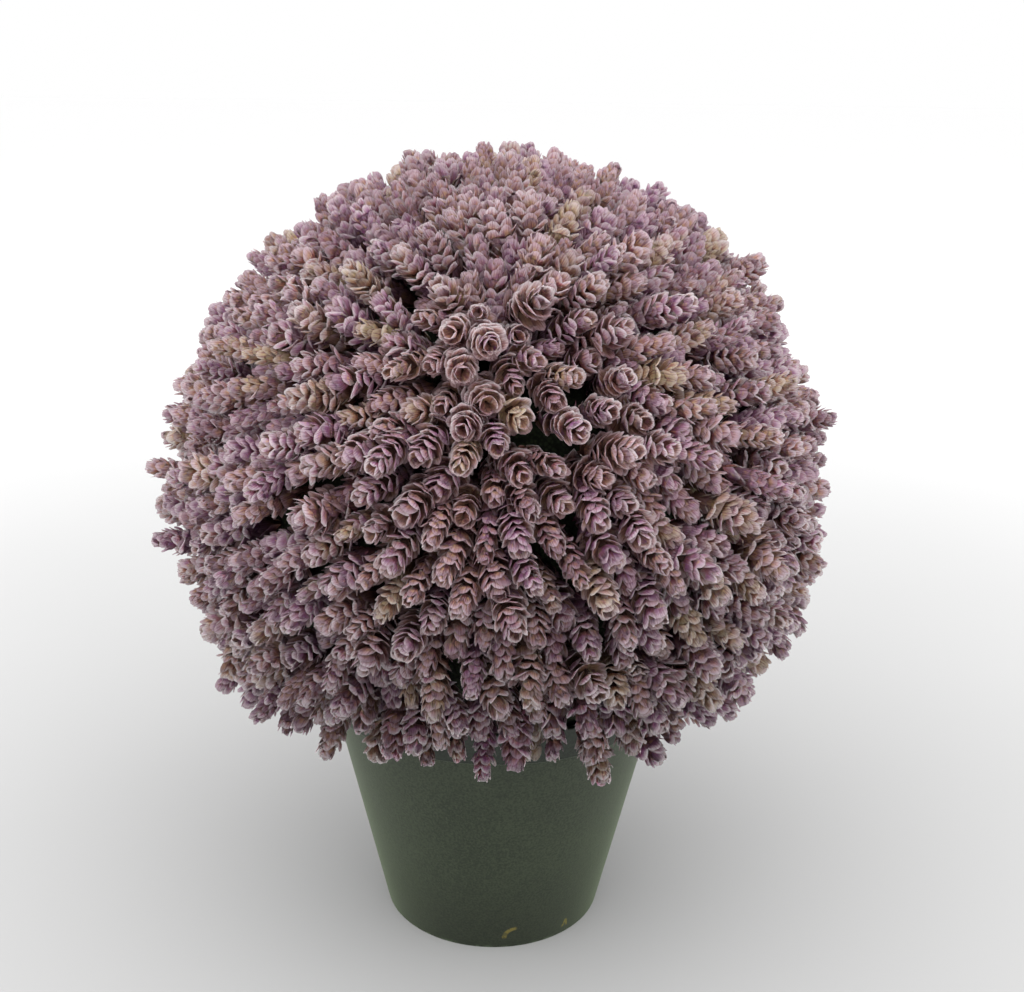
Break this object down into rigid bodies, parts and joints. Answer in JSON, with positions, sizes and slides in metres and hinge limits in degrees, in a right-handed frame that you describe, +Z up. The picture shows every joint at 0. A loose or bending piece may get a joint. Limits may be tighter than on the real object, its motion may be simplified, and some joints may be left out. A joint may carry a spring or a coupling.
{
  "type": "potted hop-cone ball topiary",
  "caption": "Artificial ball topiary: a ball covered all over with small scaly hop cones, standing on its stake in a filled, tapered nursery pot.",
  "frame": {"origin": "middle of the pot's underside", "axes": "+Z up, from the pot to the top of the ball; -Y faces the viewer of the picture"},
  "size_m": [0.3037, 0.3044, 0.3677],
  "materials": {
    "pot_plastic": "dark green moulded plastic, satin, slightly dusty",
    "fill_plaster": "rough cast plaster",
    "stake_wood": "raw dowel",
    "ball_foam": "dark green foam, open grain",
    "cone_plastic": "dusty mauve soft plastic with pale rims and tan insides, some cones cream"
  },
  "bodies": {
    "root": {"pot": "pot_plastic", "pot_fill": "fill_plaster", "stake": "stake_wood", "foam_ball": "ball_foam", "spray_01": "cone_plastic", "spray_02": "cone_plastic", "spray_03": "cone_plastic", "spray_04": "cone_plastic", "spray_05": "cone_plastic", "spray_06": "cone_plastic", "spray_07": "cone_plastic", "spray_08": "cone_plastic", "spray_09": "cone_plastic", "spray_10": "cone_plastic", "spray_11": "cone_plastic", "spray_12": "cone_plastic", "spray_13": "cone_plastic", "spray_14": "cone_plastic", "spray_15": "cone_plastic", "spray_16": "cone_plastic", "spray_17": "cone_plastic", "spray_18": "cone_plastic", "spray_19": "cone_plastic", "spray_20": "cone_plastic", "spray_21": "cone_plastic", "spray_22": "cone_plastic", "spray_23": "cone_plastic", "spray_24": "cone_plastic", "spray_25": "cone_plastic", "spray_26": "cone_plastic", "spray_27": "cone_plastic", "spray_28": "cone_plastic", "spray_29": "cone_plastic", "spray_30": "cone_plastic", "spray_31": "cone_plastic", "spray_32": "cone_plastic", "spray_33": "cone_plastic", "spray_34": "cone_plastic", "spray_35": "cone_plastic", "spray_36": "cone_plastic", "spray_37": "cone_plastic", "spray_38": "cone_plastic", "spray_39": "cone_plastic", "spray_40": "cone_plastic"}
  },
  "joints": []
}
